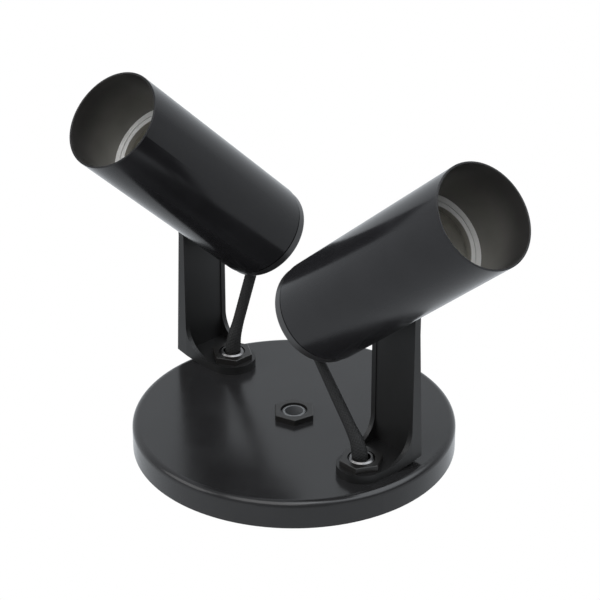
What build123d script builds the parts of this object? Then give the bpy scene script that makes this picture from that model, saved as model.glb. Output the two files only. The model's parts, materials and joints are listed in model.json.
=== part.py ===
"""Twin adjustable spotlight: two tilting tube heads on arms that swivel on a round canopy.

The origin is the centre of the canopy's mounting face, +Z points out of that face and +X runs
along the row of nuts towards the right spot. Both spots are the same assembly, set at other angles.
"""
import os
from dataclasses import dataclass
from math import cos, degrees, pi, radians, sin, sqrt, tan

from build123d import *

# Canopy: a pressed steel cup
canopy_d = 120.0
canopy_h = 10.4
canopy_sheet = 1.0
canopy_edge_r = 2.5
spot_rim_gap = 5.4

# Threaded lamp tube (nipple), its nuts and washers
nipple_d = 10.0
nipple_bore_d = 6.8
nipple_chamfer = 0.9
nipple_proud = 0.3
centre_nipple_sink = 0.5
nut_sides = 6
nut_flats = 14.0
nut_h = 2.4
nut_chamfer = 0.2
washer_d = 16.0
washer_t = 0.8
nipple_tail = 1.0
hole_play = 0.1
running_play = 0.05

# Mounting bar inside the canopy
bar_length = 100.0
bar_width = 18.0
bar_t = 2.0
bar_collar_d = 14.0
bar_collar_h = 4.0
bar_slot_pitch = 72.0
bar_slot_length = 20.0
bar_slot_d = 4.5

# Moulded arm: a foot under the nut and an upright wall with two edge ribs
arm_w = 20.4
foot_end_r = 9.0
foot_t = 3.3
wall_base_t = 5.2
wall_top_t = 2.8
wall_taper_end = 52.0
pivot_h = 70.1
arm_corner_r = 10.5
rib_w = 2.0
channel_depth = 0.35
channel_end_gap = 10.5
heel_start = 8.0
heel_rise = 2.0

# Tube head
tube_d = 37.0
tube_wall = 0.7
tube_length = 91.8
tube_rim_r = 0.2
pivot_to_tube_rear = 17.2
pivot_off_axis = 2.6
pivot_reach = 3.6

# Rear cap, its cable bush and the posts for the lampholder
cap_rim_h = 4.7
cap_rim_step = 0.4
cap_edge_r = 1.0
cap_seam_w = 0.5
cap_skirt_h = 5.0
cap_skirt_t = 1.6
post_d = 6.0
post_pitch = 18.4
post_h = 5.0
bush_hole_d = 7.0
bush_flange_d = 10.0
bush_flange_t = 1.2
bush_play = 0.15

# Lampholder and the ring that the lamp rests in
holder_d = 24.0
holder_h = 15.0
holder_edge_r = 1.0
pin_pitch = 10.0
pin_hole_d = 5.2
pin_hole_depth = 9.0
pin_slot_w = 3.2
pin_slot_turn = 3.0
holder_screw_d = 3.0
holder_screw_head_d = 5.4
holder_screw_head_h = 2.0
holder_screw_grip = 4.0
ring_depth = 25.6
ring_h = 2.4
ring_lip = 2.0
ring_groove_w = 0.4
ring_groove_depth = 0.8
ring_bore_d = 27.4

# Tilt pivot: screw, washer, saddle spacer and the threaded plate inside the tube
pivot_d = 4.0
pivot_head_d = 8.0
pivot_head_h = 2.8
pivot_head_edge_r = 0.9
pivot_slot_w = 1.2
pivot_slot_depth = 1.2
pivot_washer_d = 10.0
pivot_washer_t = 0.8
spacer_d = 11.0
spacer_t = 0.5
saddle_wrap = 1.0
plate_w = 9.0
plate_l = 12.0
plate_t = 2.6
pivot_tail = 1.0

# Sleeved cable between the nipple and the rear cap
cable_d = 4.4
cable_start = 4.0
cable_lift = 2.5
cable_exit_run = 4.0
cable_end_gap = 0.1
cable_bend = 0.45

# How each spot is set in the photograph, in degrees
left_pan_angle = 10.7
left_tilt_angle = -46.5
right_pan_angle = -77.1
right_tilt_angle = 49.5

canopy_r = canopy_d / 2
spot_pitch = canopy_d - 2 * (canopy_sheet + spot_rim_gap) - washer_d
tube_r = tube_d / 2
tube_bore_r = tube_r - tube_wall
nipple_top = foot_t + nut_h + nipple_proud
cap_inner = -pivot_to_tube_rear
cap_outer = cap_inner - cap_rim_h
holder_rear = cap_inner + post_h
holder_front = holder_rear + holder_h
mouth = tube_length - pivot_to_tube_rear
wall_face = pivot_reach - tube_r - spacer_t
wall_back = wall_face - wall_base_t
washer_face = -wall_top_t - running_play
plate_seat = tube_r - sqrt(tube_bore_r ** 2 - pivot_off_axis ** 2)


@dataclass(frozen=True)
class Spot:
    """One spot: its side of the canopy, its swivel angle and the tilt of its head from upright."""

    name: str
    side: int
    pan: float
    tilt: float

    @property
    def foot(self):
        """Plane on the canopy's top at the nipple, with X from the wall towards the nut."""
        turn = radians(self.pan)
        return Plane((self.side * spot_pitch / 2, 0, canopy_h), x_dir=(cos(turn), sin(turn), 0), z_dir=(0, 0, 1))

    @property
    def side_view(self):
        """Upright plane through the nipple that cuts the arm lengthwise: X along the foot, Y up."""
        return Plane(self.foot.origin, x_dir=self.foot.x_dir, z_dir=-self.foot.y_dir)

    @property
    def wall(self):
        """Inner face of the arm's wall, centred on the pivot, looking along the foot."""
        return Plane(self.foot.from_local_coords(Vector(wall_face, 0, pivot_h)), x_dir=self.foot.y_dir,
                     z_dir=self.foot.x_dir)

    @property
    def head(self):
        """Cross-section of the tube level with the pivot: X away from the wall, Z to the mouth."""
        lean = radians(self.tilt)
        along = self.foot.y_dir * sin(lean) + Vector(0, 0, 1) * cos(lean)
        pivot = self.foot.from_local_coords(Vector(pivot_reach, 0, pivot_h))
        across = along.cross(self.foot.x_dir)
        return Plane(pivot - across * pivot_off_axis, x_dir=self.foot.x_dir, z_dir=along)

    @property
    def head_profile(self):
        """Lengthwise half section of the head: X is the radius, Y runs to the mouth."""
        return Plane(self.head.origin, x_dir=self.head.x_dir, z_dir=-self.head.y_dir)

    @property
    def head_axis(self):
        """Centre line of the tube."""
        return Axis(self.head.origin, self.head.z_dir)

    @property
    def pivot(self):
        """Plane square to the tilt axis, at the arm wall's inner face, turned with the head."""
        return Plane(self.wall.origin, x_dir=self.head.y_dir, z_dir=self.wall.z_dir)


def at(plane, x, y, z=0.0):
    """Return the plane moved by x, y and z along its own directions."""
    return Plane(plane.from_local_coords(Vector(x, y, z)), x_dir=plane.x_dir, z_dir=plane.z_dir)


def hex_nut(seat):
    """Return a thin hexagon nut that stands on the seat plane with a flat towards X."""
    with BuildPart() as nut:
        with BuildSketch(seat):
            RegularPolygon(nut_flats / 2, nut_sides, major_radius=False, rotation=degrees(pi / nut_sides))
            Circle(nipple_d / 2, mode=Mode.SUBTRACT)
        extrude(amount=nut_h)
        top = nut.faces().sort_by(Axis(seat.origin, seat.z_dir))[-1]
        chamfer(top.outer_wire().edges(), nut_chamfer)
    return nut.part


def nipple(seat, length):
    """Return a threaded lamp tube that rises by its length from the seat plane."""
    with BuildPart() as tube:
        with BuildSketch(seat):
            Circle(nipple_d / 2)
            Circle(nipple_bore_d / 2, mode=Mode.SUBTRACT)
        extrude(amount=length)
        rims = tube.edges().filter_by(GeomType.CIRCLE).group_by(SortBy.RADIUS)[-1]
        chamfer(rims, nipple_chamfer)
    return tube.part


def flat_washer(seat):
    """Return a plain washer that stands on the seat plane."""
    with BuildPart() as ring:
        with BuildSketch(seat):
            Circle(washer_d / 2)
            Circle(nipple_d / 2 + hole_play, mode=Mode.SUBTRACT)
        extrude(amount=washer_t)
    return ring.part


def arm(spot):
    """Return the moulded arm: side profile trimmed to its plan and front, a channel between two ribs, bores."""
    wall_top = pivot_h + arm_w / 2
    channel_top = pivot_h - channel_end_gap
    fillet_start = (wall_face, foot_t + arm_corner_r)
    fillet_end = (wall_face + arm_corner_r, foot_t)
    with BuildPart() as body:
        with BuildSketch(spot.side_view):
            with BuildLine():
                TangentArc(fillet_start, fillet_end, tangent=(0, -1))
                Polyline(fillet_end, (foot_end_r, foot_t), (foot_end_r, 0), (-heel_start, 0), (wall_back, heel_rise),
                         (wall_face - wall_top_t, wall_taper_end), (wall_face - wall_top_t, wall_top),
                         (wall_face, wall_top), fillet_start)
            make_face()
        extrude(amount=arm_w / 2, both=True)
        with BuildSketch(spot.foot):
            with BuildLine():
                Polyline((wall_face, -arm_w / 2), (wall_back, -arm_w / 2), (wall_back, arm_w / 2),
                         (wall_face, arm_w / 2))
                CenterArc((0, 0), foot_end_r, 0, 360)
            make_hull()
        extrude(amount=wall_top, mode=Mode.INTERSECT)
        with BuildSketch(spot.wall):
            Circle(arm_w / 2)
            with Locations((0, -pivot_h / 2)):
                Rectangle(arm_w, pivot_h)
        extrude(amount=foot_end_r - wall_face, both=True, mode=Mode.INTERSECT)
        with BuildSketch(spot.side_view):
            with BuildLine():
                Polyline((wall_face - channel_depth, foot_t), fillet_end, (wall_face + arm_corner_r, channel_top),
                         (wall_face, channel_top), (wall_face - channel_depth, channel_top - channel_depth),
                         close=True)
            make_face()
        extrude(amount=arm_w / 2 - rib_w, both=True, mode=Mode.SUBTRACT)
        with BuildSketch(spot.foot):
            Circle(nipple_d / 2 + running_play)
        extrude(amount=foot_t, mode=Mode.SUBTRACT)
        with BuildSketch(spot.wall):
            Circle(pivot_d / 2 + running_play)
        extrude(amount=-wall_base_t, mode=Mode.SUBTRACT)
    return body.part


def tube(spot):
    """Return the open tube of the head, with the hole for the pivot screw in its side."""
    with BuildPart() as shell:
        with BuildSketch(at(spot.head, 0, 0, cap_inner)):
            Circle(tube_r)
            Circle(tube_bore_r, mode=Mode.SUBTRACT)
        extrude(amount=tube_length)
        rim = shell.edges().sort_by(spot.head_axis)[-2:]
        fillet(rim, tube_rim_r)
        with BuildSketch(spot.pivot):
            Circle(pivot_d / 2 + hole_play)
        extrude(amount=tube_r, mode=Mode.SUBTRACT)
    return shell.part


def rear_cap(spot):
    """Return the cap that closes the tube's rear: rim behind a seam, skirt in the tube, two posts, cable hole."""
    rim_r = tube_r - cap_rim_step
    with BuildPart() as cap:
        with BuildSketch(spot.head_profile):
            with BuildLine():
                Polyline((bush_hole_d / 2, cap_outer), (rim_r, cap_outer), (rim_r, cap_inner - cap_seam_w),
                         (tube_bore_r, cap_inner - cap_seam_w), (tube_bore_r, cap_inner + cap_skirt_h),
                         (tube_bore_r - cap_skirt_t, cap_inner + cap_skirt_h),
                         (tube_bore_r - cap_skirt_t, cap_inner), (bush_hole_d / 2, cap_inner), close=True)
            make_face()
        revolve(axis=spot.head_axis)
        outer_rim = cap.edges().sort_by(spot.head_axis)[:2].sort_by(SortBy.RADIUS)[-1]
        fillet(outer_rim, cap_edge_r)
        with BuildSketch(at(spot.head, 0, 0, cap_inner)):
            with GridLocations(0, post_pitch, 1, 2):
                Circle(post_d / 2)
        extrude(amount=post_h)
        with BuildSketch(at(spot.head, 0, 0, holder_rear)):
            with GridLocations(0, post_pitch, 1, 2):
                Circle(holder_screw_d / 2)
        extrude(amount=-holder_screw_grip, mode=Mode.SUBTRACT)
    return cap.part


def cable_bush(spot):
    """Return the flanged bush that lines the cap's cable hole."""
    bore = cable_d / 2 + bush_play
    with BuildPart() as bush:
        with BuildSketch(spot.head_profile):
            with BuildLine():
                Polyline((bore, cap_outer - bush_flange_t), (bush_flange_d / 2, cap_outer - bush_flange_t),
                         (bush_flange_d / 2, cap_outer), (bush_hole_d / 2, cap_outer),
                         (bush_hole_d / 2, cap_inner), (bush_flange_d / 2, cap_inner),
                         (bush_flange_d / 2, cap_inner + bush_flange_t), (bore, cap_inner + bush_flange_t),
                         close=True)
            make_face()
        revolve(axis=spot.head_axis)
    return bush.part


def lampholder(spot):
    """Return the ceramic holder with two bayonet keyholes and two screw holes."""
    front = at(spot.head, 0, 0, holder_front)
    with BuildPart() as holder:
        with BuildSketch(at(spot.head, 0, 0, holder_rear)):
            Circle(holder_d / 2)
        extrude(amount=holder_h)
        fillet(holder.edges().sort_by(spot.head_axis)[-1], holder_edge_r)
        with BuildSketch(front):
            with GridLocations(pin_pitch, 0, 2, 1):
                Circle(pin_hole_d / 2)
            with Locations((pin_pitch / 2, pin_slot_turn / 2), (-pin_pitch / 2, -pin_slot_turn / 2)):
                Rectangle(pin_slot_w, pin_slot_turn + pin_slot_w)
        extrude(amount=-pin_hole_depth, mode=Mode.SUBTRACT)
        with BuildSketch(front):
            with GridLocations(0, post_pitch, 1, 2):
                Circle(holder_screw_d / 2 + hole_play)
        extrude(amount=-holder_h, mode=Mode.SUBTRACT)
    return holder.part


def holder_screws(spot):
    """Return the two screws that hold the lampholder on the cap's posts."""
    with BuildPart() as screws:
        with BuildSketch(at(spot.head, 0, 0, holder_front)):
            with GridLocations(0, post_pitch, 1, 2):
                Circle(holder_screw_head_d / 2)
        extrude(amount=holder_screw_head_h)
        with BuildSketch(at(spot.head, 0, 0, holder_front)):
            with GridLocations(0, post_pitch, 1, 2):
                Circle(holder_screw_d / 2)
        extrude(amount=-holder_h - holder_screw_grip)
        with BuildSketch(at(spot.head, 0, 0, holder_front + holder_screw_head_h)):
            with GridLocations(0, post_pitch, 1, 2):
                Rectangle(holder_screw_head_d, pivot_slot_w)
        extrude(amount=-pivot_slot_depth, mode=Mode.SUBTRACT)
    return screws.part


def retaining_ring(spot):
    """Return the grooved ring, seen down the tube, that the front of the lamp rests in."""
    front = mouth - ring_depth
    lip_r = tube_bore_r - ring_lip
    land_r = lip_r - ring_groove_w
    with BuildPart() as ring:
        with BuildSketch(spot.head_profile):
            with BuildLine():
                Polyline((tube_bore_r, front - ring_h), (tube_bore_r, front), (lip_r, front),
                         (lip_r, front - ring_groove_depth), (land_r, front - ring_groove_depth),
                         (land_r, front), (ring_bore_d / 2, front), (ring_bore_d / 2, front - ring_h),
                         close=True)
            make_face()
        revolve(axis=spot.head_axis)
    return ring.part


def pivot_screw(spot):
    """Return the slotted screw that joins the arm's wall to the plate inside the tube."""
    seat = at(spot.pivot, 0, 0, washer_face - pivot_washer_t)
    with BuildPart() as screw:
        with BuildSketch(seat):
            Circle(pivot_head_d / 2)
        extrude(amount=-pivot_head_h)
        fillet(screw.edges().sort_by(Axis(seat.origin, seat.z_dir))[0], pivot_head_edge_r)
        with BuildSketch(seat):
            Circle(pivot_d / 2)
        extrude(amount=pivot_washer_t - washer_face + spacer_t + plate_seat + plate_t + pivot_tail)
        with BuildSketch(at(seat, 0, 0, -pivot_head_h)):
            Rectangle(pivot_head_d, pivot_slot_w)
        extrude(amount=pivot_slot_depth, mode=Mode.SUBTRACT)
    return screw.part


def pivot_washer(spot):
    """Return the washer between the screw's head and the arm."""
    with BuildPart() as washer:
        with BuildSketch(at(spot.pivot, 0, 0, washer_face)):
            Circle(pivot_washer_d / 2)
            Circle(pivot_d / 2 + hole_play, mode=Mode.SUBTRACT)
        extrude(amount=-pivot_washer_t)
    return washer.part


def saddle_spacer(spot):
    """Return the spacer between arm and tube: flat on the arm, hollowed to the tube's curve."""
    with BuildPart() as spacer:
        with BuildSketch(at(spot.pivot, 0, 0, running_play)):
            Circle(spacer_d / 2)
            Circle(pivot_d / 2 + hole_play, mode=Mode.SUBTRACT)
        extrude(amount=spacer_t - running_play + saddle_wrap)
        with BuildSketch(spot.head):
            Circle(tube_r)
        extrude(amount=spacer_d, both=True, mode=Mode.SUBTRACT)
    return spacer.part


def clamp_plate(spot):
    """Return the threaded plate inside the tube, curved on the side that bears on the tube."""
    with BuildPart() as plate:
        with BuildSketch(spot.pivot):
            Rectangle(plate_w, plate_l)
            Circle(pivot_d / 2, mode=Mode.SUBTRACT)
        extrude(amount=spacer_t + plate_seat + plate_t)
        with BuildSketch(spot.head):
            Circle(tube_bore_r)
        extrude(amount=plate_l, both=True, mode=Mode.INTERSECT)
    return plate.part


def cable_points(spot):
    """Return the points of the cable's route, from inside the canopy to the lampholder's back."""
    foot_heights = (cable_start - canopy_h, nipple_top + cable_lift)
    head_heights = (cap_outer - bush_flange_t - cable_exit_run, cap_inner + bush_flange_t, holder_rear - cable_end_gap)
    return ([spot.foot.from_local_coords(Vector(0, 0, height)) for height in foot_heights]
            + [spot.head.from_local_coords(Vector(0, 0, height)) for height in head_heights])


def bend_radii(points):
    """Return the largest arc that each corner's two runs allow."""
    runs = [b - a for a, b in zip(points, points[1:])]
    return [cable_bend * min(a.length, b.length) / tan(radians(a.get_angle(b) / 2)) for a, b in zip(runs, runs[1:])]


def cable(spot):
    """Return the sleeved cable from the canopy through the nipple to the lampholder."""
    points = cable_points(spot)
    radii = bend_radii(points[:-1])
    with BuildPart() as cord:
        with BuildLine() as route:
            FilletPolyline(*points[:-1], radius=radii)
            Line(*points[-2:])
        line = route.wire()
        with BuildSketch(Plane(line @ 0, z_dir=line % 0)):
            Circle(cable_d / 2)
        sweep(path=line)
    share = cord.part.volume / (pi * cable_d ** 2 / 4 * line.length)
    print(spot.name, "cable radii", [round(r, 1) for r in radii], "length", round(line.length, 1),
          "volume against section times length", round(share, 4))
    print(spot.name, "cable points", [tuple(round(v, 3) for v in p) for p in points])
    return cord.part


def save(part, label):
    """Name the part and write it to its own file."""
    part.label = label
    export_step(part, f"parts/{label}.step")


left = Spot("left", -1, left_pan_angle, left_tilt_angle)
right = Spot("right", 1, right_pan_angle, right_tilt_angle)
spots = (left, right)
canopy_holes = [(-spot_pitch / 2, 0), (0, 0), (spot_pitch / 2, 0)]
os.makedirs("parts", exist_ok=True)

with BuildPart() as canopy:
    with BuildSketch():
        Circle(canopy_r)
    extrude(amount=canopy_h)
    fillet(canopy.edges().sort_by(Axis.Z)[-1], canopy_edge_r)
    offset(amount=-canopy_sheet, openings=canopy.faces().sort_by(Axis.Z)[0])
    with BuildSketch():
        with Locations(*canopy_holes):
            Circle(nipple_d / 2 + hole_play)
    extrude(amount=canopy_h, mode=Mode.SUBTRACT)
save(canopy.part, "canopy")

with BuildPart() as mounting_bar:
    with BuildSketch():
        SlotOverall(bar_length, bar_width, rotation=90)
    extrude(amount=bar_t)
    with BuildSketch():
        Circle(bar_collar_d / 2)
    extrude(amount=bar_collar_h)
    with BuildSketch():
        Circle(nipple_d / 2)
        with GridLocations(0, bar_slot_pitch, 1, 2):
            SlotOverall(bar_slot_length, bar_slot_d, rotation=90)
    extrude(amount=bar_collar_h, mode=Mode.SUBTRACT)
save(mounting_bar.part, "mounting_bar")

save(nipple(Plane.XY, canopy_h + nut_h - centre_nipple_sink), "centre_nipple")
under = canopy_h - canopy_sheet
tail_start = under - washer_t - nut_h - nipple_tail
tail_length = canopy_h + nipple_top - tail_start
groups = {
    "arm_nipples": [nipple(at(s.foot, 0, 0, tail_start - canopy_h), tail_length) for s in spots],
    "clamp_nuts": [hex_nut(Plane((0, 0, canopy_h)))] + [hex_nut(at(s.foot, 0, 0, foot_t)) for s in spots],
    "lock_nuts": [hex_nut(at(s.foot, 0, 0, -canopy_sheet - washer_t - nut_h)) for s in spots],
    "lock_washers": [flat_washer(at(s.foot, 0, 0, -canopy_sheet - washer_t)) for s in spots],
}
for group_name, solids in groups.items():
    save(Compound(children=solids), group_name)

pieces = {
    "arm": arm,
    "tube": tube,
    "rear_cap": rear_cap,
    "cable_bush": cable_bush,
    "lampholder": lampholder,
    "holder_screws": holder_screws,
    "retaining_ring": retaining_ring,
    "pivot_screw": pivot_screw,
    "pivot_washer": pivot_washer,
    "saddle_spacer": saddle_spacer,
    "clamp_plate": clamp_plate,
    "cable": cable,
}
for spot in spots:
    for piece_name, make in pieces.items():
        save(make(spot), f"{spot.name}_{piece_name}")
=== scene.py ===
"""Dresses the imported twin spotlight: finishes, woven cable sleeves, studio and camera."""

import json
import logging
import math
from dataclasses import dataclass, field
from enum import Enum
from typing import Any, Sequence

import bpy
import numpy as np
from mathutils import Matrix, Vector


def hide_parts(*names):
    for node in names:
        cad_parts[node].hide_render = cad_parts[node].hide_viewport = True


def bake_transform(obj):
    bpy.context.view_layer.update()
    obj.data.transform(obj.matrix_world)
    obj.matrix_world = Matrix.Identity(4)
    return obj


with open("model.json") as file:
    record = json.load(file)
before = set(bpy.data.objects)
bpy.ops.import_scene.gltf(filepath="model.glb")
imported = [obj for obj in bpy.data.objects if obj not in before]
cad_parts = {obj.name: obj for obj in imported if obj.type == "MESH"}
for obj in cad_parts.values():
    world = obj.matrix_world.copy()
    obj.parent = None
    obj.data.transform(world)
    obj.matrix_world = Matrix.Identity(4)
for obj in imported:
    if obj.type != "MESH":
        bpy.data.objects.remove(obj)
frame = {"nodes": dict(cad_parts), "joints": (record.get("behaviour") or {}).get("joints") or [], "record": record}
log = logging.getLogger("spotlight")
MM = 0.001
# Between these two values lies nearly all of a noise texture
NOISE_SPAN = (0.3, 0.7)


def linear(hex_code: str) -> tuple[float, float, float, float]:
    """Turn an sRGB hex colour into linear light.

    Args:
        hex_code: six hex digits, such as "4b4b4d".

    Returns:
        Linear red, green, blue and an alpha of 1.
    """
    values = (int(hex_code[i:i + 2], 16) / 255 for i in (0, 2, 4))
    return (*(v / 12.92 if v <= 0.04045 else ((v + 0.055) / 1.055) ** 2.4 for v in values), 1.0)


class Nodes:
    """A node tree, with one call that adds a node, its settings and its links."""

    def __init__(self, tree: bpy.types.NodeTree) -> None:
        """Take over a tree and empty it."""
        self.tree = tree
        self.tree.nodes.clear()

    def add(self, kind: str, settings: dict[str, Any] | None = None, *ordered: Any,
            out: str | None = None, **named: Any) -> Any:
        """Add a node.

        Args:
            kind: the node's type name without its ShaderNode prefix.
            settings: properties to set on the node itself.
            ordered: values or output sockets for the first enabled inputs, in order.
            out: the name of the output to return, or None for the first one.
            named: values or output sockets by input name, with underscores for spaces.

        Returns:
            The chosen output socket, or None for a node without outputs.
        """
        node = self.tree.nodes.new("ShaderNode" + kind)
        for key, value in (settings or {}).items():
            setattr(node, key, value)
        inputs = [socket for socket in node.inputs if socket.enabled]
        by_name = {socket.name.replace(" ", "_"): socket for socket in reversed(inputs)}
        for socket, value in list(zip(inputs, ordered)) + [(by_name[key], named[key]) for key in named]:
            if isinstance(value, bpy.types.NodeSocket):
                self.tree.links.new(value, socket)
            else:
                socket.default_value = value
        return next((s for s in node.outputs if s.enabled and out in (None, s.name)), None)


def new_material(name: str) -> tuple[bpy.types.Material, Nodes]:
    """Make an empty node material.

    Args:
        name: the material's name.

    Returns:
        The material and its nodes.
    """
    material = bpy.data.materials.new(name)
    material.use_nodes = True
    return material, Nodes(material.node_tree)


@dataclass(frozen=True)
class Finish:
    """One real material: colour, gloss and the fine grain that its surface shows."""

    name: str
    colour: str
    roughness: float
    metallic: float = 0.0
    specular: float = 0.5
    grain_mm: float = 0.5
    grain_depth_mm: float = 0.004
    mottle: float = 0.1
    mottle_mm: float = 14.0
    gloss_spread: float = 0.03

    def surface(self, n: Nodes) -> dict[str, bpy.types.NodeSocket]:
        """Work out the mottled colour, the uneven gloss and the grain, in object space.

        Args:
            n: the material's nodes.

        Returns:
            Sockets for the shader's inputs, by input name.
        """
        place = n.add("TexCoord", out="Object")
        cloud = n.add("TexNoise", Vector=place, Scale=1 / (self.mottle_mm * MM), Detail=4.0)
        grain = n.add("TexNoise", Vector=place, Scale=1 / (self.grain_mm * MM), Detail=2.0)
        tone = n.add("MapRange", None, cloud, *NOISE_SPAN, 1 - self.mottle, 1 + self.mottle)
        low, high = self.roughness - self.gloss_spread, self.roughness + self.gloss_spread
        return {
            "Base_Color": n.add("VectorMath", {"operation": "SCALE"}, linear(self.colour)[:3], Scale=tone),
            "Roughness": n.add("MapRange", None, cloud, *NOISE_SPAN, low, high),
            "Normal": n.add("Bump", Height=grain, Strength=1.0, Distance=self.grain_depth_mm * MM),
        }

    def build(self) -> bpy.types.Material:
        """Build the material from its surface.

        Returns:
            The material, named for the finish.
        """
        material, n = new_material(self.name)
        shader = n.add("BsdfPrincipled", **self.surface(n), Metallic=self.metallic,
                       Specular_IOR_Level=self.specular)
        n.add("OutputMaterial", Surface=shader)
        return material


class Slot(Enum):
    """The record's material slots and the finish that each one gets."""

    # Baked semi-gloss paint on pressed steel: a soft mirror with the faint ripple of sprayed paint
    canopy_paint = Finish("semi_gloss_black_paint", "242425", 0.2, specular=0.33,
                          grain_mm=0.8, grain_depth_mm=0.002)
    # The same paint on drawn tube, a little glossier, so that floor and canopy show in it as bands
    tube_paint = Finish("gloss_black_tube_paint", "1f1f21", 0.19, specular=0.2,
                        grain_mm=0.8, grain_depth_mm=0.0015)
    # Moulded nylon: spark-eroded grain, little gloss
    arm_plastic = Finish("moulded_black_nylon", "161616", 0.46, specular=0.4,
                         grain_mm=0.35, grain_depth_mm=0.01)
    # Moulded ABS: finer grain, some gloss on the rounded rim
    cap_plastic = Finish("moulded_black_abs", "262627", 0.34, specular=0.55,
                         grain_mm=0.4, grain_depth_mm=0.006)
    # Black oxide on steel, slightly brown and oily
    black_nut = Finish("black_oxide_steel", "1c1b1a", 0.34, specular=0.34,
                       grain_mm=0.3, grain_depth_mm=0.006)
    # Bright zinc plate: a clean metal with a faint milky cloud
    zinc_steel = Finish("bright_zinc_plate", "b8bbbc", 0.24, metallic=1.0,
                        grain_mm=0.4, grain_depth_mm=0.002)
    # The same plate, dulled by age: a grey, soft metal
    dull_zinc = Finish("dulled_zinc_plate", "707274", 0.5, metallic=0.35,
                       grain_mm=0.4, grain_depth_mm=0.004)
    # Unglazed steatite: chalky, off-white
    holder_ceramic = Finish("unglazed_steatite", "d9d3c4", 0.7, grain_mm=0.3, grain_depth_mm=0.01)
    # Soft moulded rubber
    bush_rubber = Finish("black_rubber", "191919", 0.65, grain_mm=0.4, grain_depth_mm=0.01)


@dataclass(frozen=True)
class Spot:
    """One spot: its head's lean from upright in degrees, and its cable's route in metres."""

    name: str
    lean: float
    route: tuple[tuple[float, float, float], ...]
    flat_turn: float
    pivot_off_axis: float = 2.6 * MM
    mouth: float = 74.6 * MM

    def tube_axis(self) -> tuple[Vector, Vector]:
        """Work out where the tube lies, from the joint that its head tilts on.

        Returns:
            A point on the tube's centre line and the line's direction towards the mouth.
        """
        hinge = next(joint for joint in frame["joints"] if joint["name"] == self.name + "_tilt")
        outwards, lean = -Vector(hinge["axis"]), math.radians(self.lean)
        sideways = Vector((-outwards.y, outwards.x, 0.0))
        along = sideways * math.sin(lean) + Vector((0, 0, math.cos(lean)))
        return Vector(hinge["pos_m"]) - along.cross(outwards) * self.pivot_off_axis, along


def axis_place(n: Nodes, spot: Spot) -> tuple[bpy.types.NodeSocket, bpy.types.NodeSocket]:
    """Measure where a surface point lies from a tube's centre line.

    Args:
        n: the material's nodes.
        spot: the spot whose tube it is.

    Returns:
        The distance from the centre line and the depth below the mouth, in metres.
    """
    origin, along = spot.tube_axis()
    place = n.add("TexCoord", out="Object")
    from_mouth = n.add("VectorMath", {"operation": "SUBTRACT"}, place, tuple(origin + along * spot.mouth))
    across = n.add("VectorMath", {"operation": "CROSS_PRODUCT"}, from_mouth, tuple(along))
    radius = n.add("VectorMath", {"operation": "LENGTH"}, across, out="Value")
    return radius, n.add("VectorMath", {"operation": "DOT_PRODUCT"}, from_mouth, tuple(-along), out="Value")


@dataclass(frozen=True)
class TubeFinish:
    """Gloss paint outside a tube; inside, its dull overspray thins out to a grey primer.

    Behind the retaining ring, which masks the spray, the primer is left clean.
    """

    spot: Spot
    paint: Finish = Slot.tube_paint.value
    spray: Finish = Finish("dull_overspray", "333231", 0.4, grain_mm=0.5, grain_depth_mm=0.006)
    primer: Finish = Finish("dusty_primer", "767570", 0.36)
    masked: Finish = Finish("clean_primer", "e2e0d9", 0.5)
    bore_radius: float = 17.8 * MM
    edge: float = 0.1 * MM
    spray_start: float = 3.0 * MM
    spray_end: float = 25.0 * MM
    mask_start: float = 26.0 * MM
    mask_end: float = 28.0 * MM

    def build(self) -> bpy.types.Material:
        """Build the material: the radius parts outside from inside, the depth bares the primer.

        Returns:
            The tube's material.
        """
        material, n = new_material("painted_tube_" + self.spot.name)
        radius, depth = axis_place(n, self.spot)
        wall = self.bore_radius + self.edge
        within = n.add("MapRange", None, radius, wall, wall + self.edge, 1.0, 0.0)
        smooth = {"interpolation_type": "SMOOTHSTEP"}
        bare = n.add("MapRange", smooth, depth, self.spray_start, self.spray_end, 0.0, 1.0)
        behind = n.add("MapRange", smooth, depth, self.mask_start, self.mask_end, 0.0, 1.0)
        coats = [finish.surface(n) for finish in (self.spray, self.primer, self.masked, self.paint)]
        mixed = {}
        for key, kind in (("Base_Color", "RGBA"), ("Roughness", "FLOAT")):
            spray, primer, masked, paint = (coat[key] for coat in coats)
            front = n.add("Mix", {"data_type": kind}, Factor=bare, A=spray, B=primer)
            inner = n.add("Mix", {"data_type": kind}, Factor=behind, A=front, B=masked)
            mixed[key] = n.add("Mix", {"data_type": kind}, Factor=within, A=paint, B=inner)
        shader = n.add("BsdfPrincipled", **mixed, Normal=coats[-1]["Normal"],
                       Specular_IOR_Level=self.paint.specular)
        n.add("OutputMaterial", Surface=shader)
        return material


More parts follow.
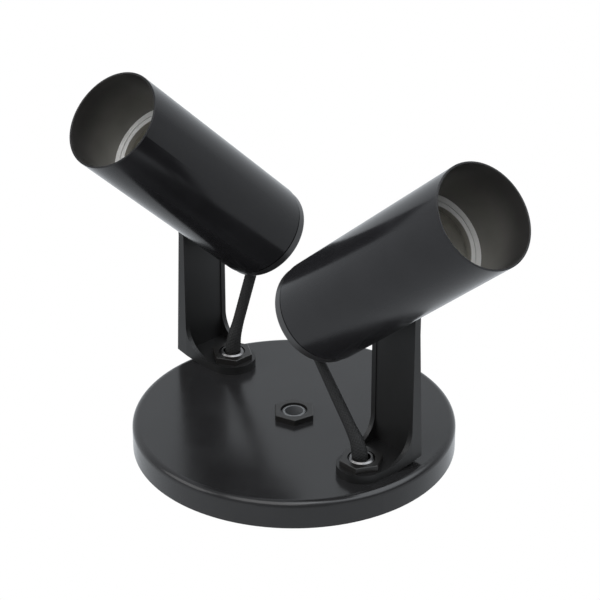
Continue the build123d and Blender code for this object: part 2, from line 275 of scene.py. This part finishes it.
@dataclass(frozen=True)
class RingFinish:
    """Turned aluminium: fine circular grooves round the tube's centre line, and a dull bore."""

    spot: Spot
    metal: Finish = Finish("turned_aluminium", "dadad8", 0.5, grain_mm=0.3, grain_depth_mm=0.003)
    bore: Finish = Finish("dull_bore", "9a978f", 0.6)
    bore_radius: float = 13.7 * MM
    edge: float = 0.1 * MM
    groove_mm: float = 0.35
    groove_depth_mm: float = 0.02

    def build(self) -> bpy.types.Material:
        """Build the material: a sine of the distance from the centre line raises the grooves.

        Returns:
            The ring's material.
        """
        material, n = new_material("turned_aluminium_" + self.spot.name)
        surface, bore = self.metal.surface(n), self.bore.surface(n)
        radius, _ = axis_place(n, self.spot)
        wall = self.bore_radius + self.edge
        face = n.add("MapRange", None, radius, wall, wall + self.edge)
        for key, kind in (("Base_Color", "RGBA"), ("Roughness", "FLOAT")):
            surface[key] = n.add("Mix", {"data_type": kind}, Factor=face, A=bore[key], B=surface[key])
        phase = n.add("Math", {"operation": "MULTIPLY"}, radius, 2 * math.pi / (self.groove_mm * MM))
        groove = n.add("Math", {"operation": "SINE"}, phase)
        surface["Normal"] = n.add("Bump", Height=groove, Strength=1.0, Distance=self.groove_depth_mm * MM,
                                  Normal=surface["Normal"])
        shader = n.add("BsdfPrincipled", **surface)
        n.add("OutputMaterial", Surface=shader)
        return material


@dataclass(frozen=True)
class CapFinish:
    """Moulded plastic of a rear cap, with painted shade: a dark, matt line along its seam with the tube."""

    spot: Spot
    plastic: Finish = Slot.cap_plastic.value
    # Painted shade: the near-black, matt colour of the line along the seam
    seam_shade: Finish = Finish("dark_dust", "060606", 0.9)
    seam: float = 92.3 * MM
    line: float = 0.6 * MM
    fade: float = 0.3 * MM

    def build(self) -> bpy.types.Material:
        """Build the material: the depth below the tube's mouth finds the seam.

        Returns:
            The cap's material.
        """
        material, n = new_material("moulded_black_abs_" + self.spot.name)
        surface, seam_shade = self.plastic.surface(n), self.seam_shade.surface(n)
        _, depth = axis_place(n, self.spot)
        line_end = self.seam + self.line
        # 0 on the painted shade line at the seam, 1 on the plain plastic behind it
        clean = n.add("MapRange", None, depth, line_end - self.fade, line_end)
        for key, kind in (("Base_Color", "RGBA"), ("Roughness", "FLOAT")):
            surface[key] = n.add("Mix", {"data_type": kind}, Factor=clean, A=seam_shade[key], B=surface[key])
        # The painted shade line also loses its gloss
        level = n.add("Math", {"operation": "MULTIPLY"}, clean, self.plastic.specular)
        shader = n.add("BsdfPrincipled", **surface, Specular_IOR_Level=level)
        n.add("OutputMaterial", Surface=shader)
        return material


def grid_object(name: str, surface: np.ndarray, values: dict[str, np.ndarray]) -> bpy.types.Object:
    """Make a closed tube from a grid of points, with a flat cap on each end.

    Args:
        name: the object's name.
        surface: rows by columns by 3 points; the last column joins the first.
        values: rows by columns of numbers to keep as attributes, by name.

    Returns:
        The object, smooth shaded, at the origin.
    """
    rows, columns = surface.shape[:2]
    index = np.arange(rows * columns).reshape(rows, columns)
    across = np.roll(index, -1, axis=1)
    quads = np.stack((index[:-1], across[:-1], across[1:], index[1:]), axis=-1).reshape(-1, 4)
    mesh = bpy.data.meshes.new(name)
    ends = [index[0, ::-1].tolist(), index[-1].tolist()]
    mesh.from_pydata(surface.reshape(-1, 3), [], quads.tolist() + ends)
    for key, value in values.items():
        attribute = mesh.attributes.new(key, "FLOAT", "POINT")
        attribute.data.foreach_set("value", value.ravel().astype(np.float32))
    mesh.polygons.foreach_set("use_smooth", np.ones(len(mesh.polygons), dtype=bool))
    mesh.update()
    obj = bpy.data.objects.new(name, mesh)
    bpy.context.scene.collection.objects.link(obj)
    return obj


@dataclass
class SleevedCable:
    """The black braided sleeve with two wires side by side in it, from the nipple to the rear cap."""

    spot: Spot
    width: float = 4.4 * MM
    thickness: float = 3.0 * MM
    spread: float = 0.35
    spread_from: float = 12.0 * MM
    spread_to: float = 26.0 * MM
    yarns: int = 10
    yarn_height: float = 0.09 * MM
    row_step: float = 0.18 * MM
    columns: int = 80
    path_step: int = 8
    flat_towards: tuple[float, float, float] = (0.758, -0.468, 0.454)
    colour: str = "1f1f1f"
    # The weave's span maps to colour factors: painted shade in the valleys, painted sheen on the crowns
    weave_span: tuple[float, float] = (-0.4, 1.0)
    valley_shade_tone: float = 0.45
    crown_sheen_tone: float = 1.25
    fibre: float = 0.25 * MM
    fibre_depth: float = 0.03 * MM
    fibre_strength: float = 0.6
    roughness: float = 0.6
    specular: float = 0.35

    def centre_line(self) -> np.ndarray:
        """Read evenly spaced points from the smooth spline that has the route as its control points.

        Returns:
            The points as an array of rows.
        """
        curve = bpy.data.curves.new(self.spot.name + "_route", "CURVE")
        curve.dimensions = "3D"
        curve.resolution_u = 32
        spline = curve.splines.new("NURBS")
        spline.points.add(len(self.spot.route) - 1)
        for point, place in zip(spline.points, self.spot.route):
            point.co = (*place, 1.0)
        spline.order_u = 3
        spline.use_endpoint_u = True
        holder = bpy.data.objects.new(curve.name, curve)
        mesh = bpy.data.meshes.new_from_object(holder)
        points = np.empty(len(mesh.vertices) * 3)
        mesh.vertices.foreach_get("co", points)
        points = points.reshape(-1, 3)
        bpy.data.meshes.remove(mesh)
        bpy.data.objects.remove(holder)
        bpy.data.curves.remove(curve)
        run = np.concatenate(([0.0], np.cumsum(np.linalg.norm(np.diff(points, axis=0), axis=1))))
        even = np.linspace(0, run[-1], int(run[-1] / self.row_step))
        return np.stack([np.interp(even, run, points[:, k]) for k in range(3)], axis=1)

    def build(self) -> bpy.types.Object:
        """Build the sleeve as a closed tube round the centre line.

        The surface is the centre line plus an oval in each cross-section, turned evenly from one end to
        the other, spread in the nipple's bore, and raised along two sets of helices that cross: the larger
        of the cosines of yarns times the angle plus and minus the run along the line.

        Returns:
            The mesh object.
        """
        line = self.centre_line()
        ahead = np.gradient(line, axis=0)
        ahead /= np.linalg.norm(ahead, axis=1, keepdims=True)
        side = np.cross(ahead, self.flat_towards)
        side /= np.linalg.norm(side, axis=1, keepdims=True)
        up = np.cross(ahead, side)
        run = np.arange(len(line)) * np.linalg.norm(line[1] - line[0])
        angle = np.linspace(0, 2 * np.pi, self.columns, endpoint=False)[None]
        mean_radius = (self.width + self.thickness) / 4
        slant = self.yarns * run[:, None] / mean_radius
        weave = np.maximum(np.cos(self.yarns * angle + slant), np.cos(self.yarns * angle - slant))
        turn = math.radians(self.spot.flat_turn) * (run / run[-1])[:, None]
        free = np.clip((run[:, None] - self.spread_from) / (self.spread_to - self.spread_from), 0, 1)
        swell = 1 + self.spread * (1 - free * free * (3 - 2 * free))
        wide = np.cos(angle) * (swell * self.width / 2 - self.yarn_height + self.yarn_height * weave)
        thick = np.sin(angle) * (swell * self.thickness / 2 - self.yarn_height + self.yarn_height * weave)
        x, y = wide * np.cos(turn) - thick * np.sin(turn), wide * np.sin(turn) + thick * np.cos(turn)
        surface = line[:, None] + x[..., None] * side[:, None] + y[..., None] * up[:, None]
        obj = grid_object(self.spot.name + "_sleeve", surface, {"weave": weave})
        obj.data.materials.append(self.material())
        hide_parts(self.spot.name + "_cable")
        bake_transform(obj)
        log.info("%s: %.1f mm long", obj.name, run[-1] / MM)
        return obj

    def material(self) -> bpy.types.Material:
        """Braided glass-fibre yarn, dyed black: dull, with painted shade in the valleys and a painted sheen on the
        crowns of the yarns, fine fibres.

        Returns:
            The sleeve's material.
        """
        material, n = new_material("braided_black_glass_fibre")
        weave = n.add("Attribute", {"attribute_name": "weave"}, out="Fac")
        # Painted shade and sheen: the weave's relief darkens the valleys and lightens the crowns
        tone = n.add("MapRange", None, weave, *self.weave_span, self.valley_shade_tone, self.crown_sheen_tone)
        fibre = n.add("TexNoise", Vector=n.add("TexCoord", out="Object"), Scale=1 / self.fibre, Detail=3.0)
        colour = n.add("VectorMath", {"operation": "SCALE"}, linear(self.colour)[:3], Scale=tone)
        bump = n.add("Bump", Height=fibre, Strength=self.fibre_strength, Distance=self.fibre_depth)
        shader = n.add("BsdfPrincipled", Base_Color=colour, Normal=bump, Roughness=self.roughness,
                       Specular_IOR_Level=self.specular)
        n.add("OutputMaterial", Surface=shader)
        return material


@dataclass(frozen=True)
class Softbox:
    """A square soft light, placed by its turn from the camera and its elevation, both in degrees."""

    name: str
    turn: float
    elevation: float
    distance: float
    size: float
    watts: float


@dataclass
class Studio:
    """White sweep, soft lights and the camera that took the photograph."""

    azimuth: float = 58.26
    elevation: float = 27.787
    distance: float = 0.79327
    target: tuple[float, float, float] = (0.0013967, 0.0017531, 0.0588397)
    focal_px: float = 2195.97
    picture_px: int = 600
    floor_size: float = 6.0
    floor_drop: float = 0.2 * MM
    floor_colour: str = "e8e8e8"
    mirrored_white: str = "f5faff"
    room_colour: str = "dcdcde"
    room_level: float = 0.5
    mirrored_room_level: float = 0.4
    sweep_edge: float = 0.6
    panel_turn: float = 75.0
    panel_elevation: float = 58.0
    panel_level: float = 3.4
    panel_edge: tuple[float, float] = (0.78, 0.92)
    softboxes: tuple[Softbox, ...] = (
        Softbox("top_softbox", turn=-22, elevation=57, distance=1.0, size=0.8, watts=6),
        Softbox("side_softbox", turn=-80, elevation=30, distance=1.2, size=0.7, watts=4),
    )

    def towards(self, azimuth: float, elevation: float) -> Vector:
        """Return the direction from the object towards an azimuth and an elevation in degrees."""
        az, el = math.radians(azimuth), math.radians(elevation)
        return Vector((math.sin(az) * math.cos(el), -math.cos(az) * math.cos(el), math.sin(el)))

    def place(self, obj: bpy.types.Object, azimuth: float, elevation: float, distance: float) -> None:
        """Put an object into the scene so that it faces the target.

        Args:
            obj: the camera or light.
            azimuth: its azimuth in degrees.
            elevation: its elevation in degrees.
            distance: its distance from the target in metres.
        """
        back = self.towards(azimuth, elevation)
        obj.location = Vector(self.target) + back * distance
        obj.rotation_euler = back.to_track_quat("Z", "Y").to_euler()
        bpy.context.scene.collection.objects.link(obj)

    def camera(self) -> None:
        """Place the camera from its angles, distance and focal length in pixels."""
        data = bpy.data.cameras.new("camera")
        data.sensor_width = 36.0
        data.lens = self.focal_px * data.sensor_width / self.picture_px
        data.clip_end = 20.0
        obj = bpy.data.objects.new("camera", data)
        self.place(obj, self.azimuth, self.elevation, self.distance)
        bpy.context.scene.camera = obj

    def seen(self, n: Nodes) -> bpy.types.NodeSocket:
        """Tell the rays that see plain white from those that light the object.

        Args:
            n: the floor material's nodes.

        Returns:
            A socket that is 1 for camera, glossy and transmission rays.
        """
        rays = [n.add("LightPath", out=f"Is {kind} Ray") for kind in ("Camera", "Glossy", "Transmission")]
        either = n.add("Math", {"operation": "MAXIMUM"}, *rays[:2])
        return n.add("Math", {"operation": "MAXIMUM"}, either, rays[2])

    def floor(self) -> None:
        """Lay a pale floor that shows as white."""
        half = self.floor_size / 2
        points = np.array([[-half, -half, 0], [half, -half, 0], [half, half, 0], [-half, half, 0]])
        mesh = bpy.data.meshes.new("floor")
        mesh.from_pydata(points - (0, 0, self.floor_drop), [], [(0, 1, 2, 3)])
        obj = bpy.data.objects.new("floor", mesh)
        bpy.context.scene.collection.objects.link(obj)
        material, n = new_material("pale_floor")
        matt = n.add("BsdfDiffuse", Color=linear(self.floor_colour))
        glossy = n.add("LightPath", out="Is Glossy Ray")
        tint = n.add("Mix", {"data_type": "RGBA"}, Factor=glossy, A=(1, 1, 1, 1),
                     B=linear(self.mirrored_white))
        white = n.add("Emission", Color=tint, Strength=1.0)
        n.add("OutputMaterial", Surface=n.add("MixShader", None, self.seen(n), matt, white))
        mesh.materials.append(material)

    def world(self) -> None:
        """Fill the room with soft light; mirrors see a white sweep behind the object and a panel above."""
        world = bpy.data.worlds.new("studio")
        bpy.context.scene.world = world
        world.use_nodes = True
        n = Nodes(world.node_tree)
        look = n.add("TexCoord", out="Generated")
        behind = -self.towards(self.azimuth, 0.0)
        overhead = self.towards(self.azimuth + self.panel_turn, self.panel_elevation)
        facing, above = (n.add("VectorMath", {"operation": "DOT_PRODUCT"}, look, tuple(way), out="Value")
                         for way in (behind, overhead))
        sweep = n.add("MapRange", None, facing, 0.0, self.sweep_edge, self.mirrored_room_level, 1.0)
        panel = n.add("MapRange", None, above, *self.panel_edge, 0.0, self.panel_level)
        room = n.add("Background", Color=linear(self.room_colour), Strength=self.room_level)
        level = n.add("Math", None, sweep, panel)
        mirrored = n.add("Background", Color=linear(self.mirrored_white), Strength=level)
        white = n.add("Background", Color=(1, 1, 1, 1), Strength=1.0)
        glossy = n.add("MixShader", None, n.add("LightPath", out="Is Glossy Ray"), room, mirrored)
        shown = n.add("MixShader", None, n.add("LightPath", out="Is Camera Ray"), glossy, white)
        n.add("OutputWorld", Surface=shown)

    def light(self, box: Softbox) -> None:
        """Hang a soft light that faces the object.

        Args:
            box: the light's place, size and power.
        """
        data = bpy.data.lights.new(box.name, "AREA")
        data.shape = "SQUARE"
        data.size = box.size
        data.energy = box.watts
        lamp = bpy.data.objects.new(box.name, data)
        self.place(lamp, self.azimuth + box.turn, box.elevation, box.distance)

    def build(self) -> None:
        """Set up camera, floor, world and lights."""
        bpy.context.scene.view_settings.view_transform = "Standard"
        self.camera()
        self.floor()
        self.world()
        for box in self.softboxes:
            self.light(box)


@dataclass
class Spotlight:
    """The whole object: its spots and the finishes of its nodes."""

    spots: Sequence[Spot] = field(default_factory=lambda: (
        Spot("left", lean=-46.5, flat_turn=0.0, route=(
            (-0.0456, 0.0, 0.004), (-0.0456, 0.0, 0.0189), (-0.046063, 0.003301, 0.028252),
            (-0.04716, 0.011133, 0.050442), (-0.047623, 0.014434, 0.059794),
            (-0.043885, 0.010314, 0.0676), (-0.043387, 0.007677, 0.070147))),
        Spot("right", lean=49.5, flat_turn=85.0, route=(
            (0.0456, 0.0, 0.004), (0.0456, 0.0, 0.0189), (0.04118, -0.00225, 0.027829),
            (0.028744, -0.008582, 0.052953), (0.022999, -0.011507, 0.064561),
            (0.032898, -0.006602, 0.072086), (0.035641, -0.005974, 0.074489))),
    ))
    # Zinc plate worn by handling, greyer than on the hidden hardware
    worn_zinc: Finish = Finish("worn_zinc_plate", "6b6a6a", 0.3, metallic=1.0,
                               grain_mm=0.4, grain_depth_mm=0.002)

    def dress(self) -> None:
        """Give every CAD node its finish and put the cables in."""
        made = {slot.name: slot.value.build() for slot in Slot}
        own = {"arm_nipples": self.worn_zinc.build()}
        for spot in self.spots:
            own[spot.name + "_tube"] = TubeFinish(spot).build()
            own[spot.name + "_rear_cap"] = CapFinish(spot).build()
            own[spot.name + "_retaining_ring"] = RingFinish(spot).build()
            SleevedCable(spot).build()
        for part in frame["record"]["subparts"]:
            name = part["node"]
            finish = own.get(name) or made.get(part["material_slot"])
            if finish:
                node = frame["nodes"][name]
                node.data.materials.clear()
                node.data.materials.append(finish)
                log.info("%s: %s", name, finish.name)


def main() -> None:
    """Dress the model and set up the studio."""
    logging.basicConfig(level=logging.INFO)
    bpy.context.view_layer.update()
    Studio().build()
    Spotlight().dress()


if __name__ == "__main__":
    main()
